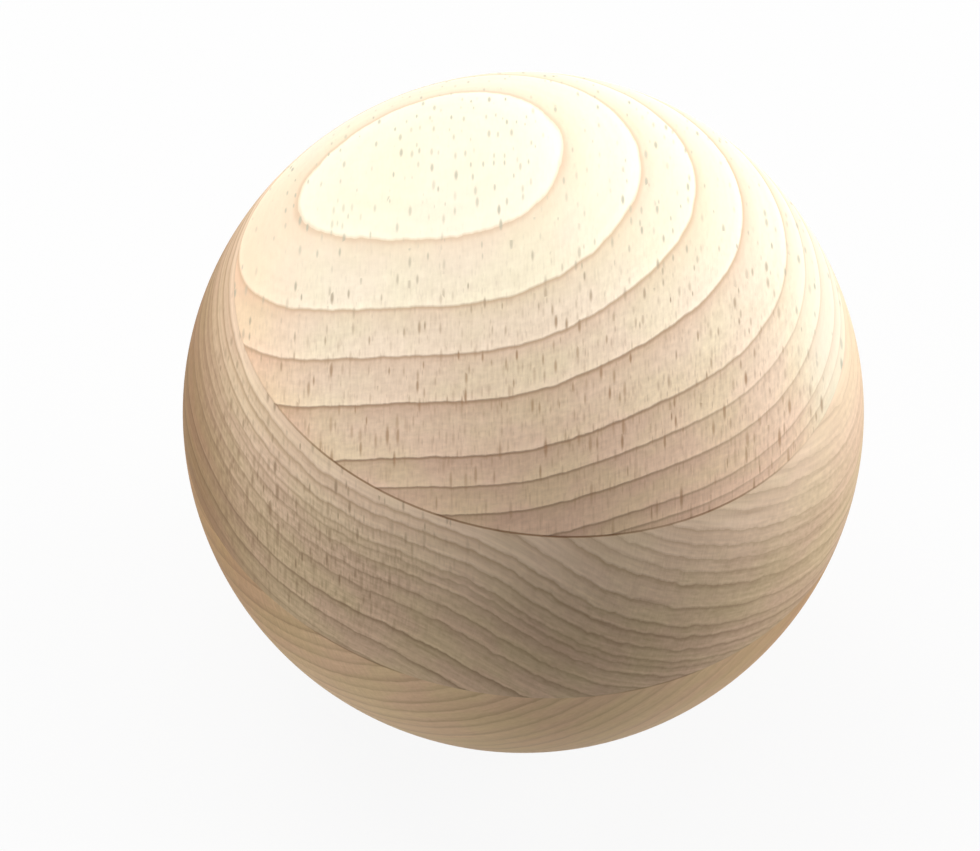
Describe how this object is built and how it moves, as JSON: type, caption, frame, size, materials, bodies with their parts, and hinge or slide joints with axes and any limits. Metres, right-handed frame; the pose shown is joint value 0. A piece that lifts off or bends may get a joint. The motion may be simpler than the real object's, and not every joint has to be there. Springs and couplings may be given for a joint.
{
  "type": "wooden ball",
  "caption": "Solid wooden ball turned from beech boards glued face to face, sanded smooth and left pale; a loose ball for craft, display or bench use.",
  "frame": {"origin": "centre of the ball", "axes": "+Z across the glued boards, towards the top board; +Y along the wood's fibres; +X across the fibres, in the plane of the glue joints"},
  "size_m": [0.1, 0.1, 0.1],
  "materials": {
    "top_board_beech": "sanded bare, flat-sawn face with wide arched rings and short dark ray flecks",
    "middle_board_beech": "sanded bare, narrow wavy rings crossed by fine rays",
    "bottom_board_beech": "sanded bare, narrow sloping rings"
  },
  "bodies": {
    "root": {"top_board": "top_board_beech", "middle_board": "middle_board_beech", "bottom_board": "bottom_board_beech"}
  },
  "joints": []
}
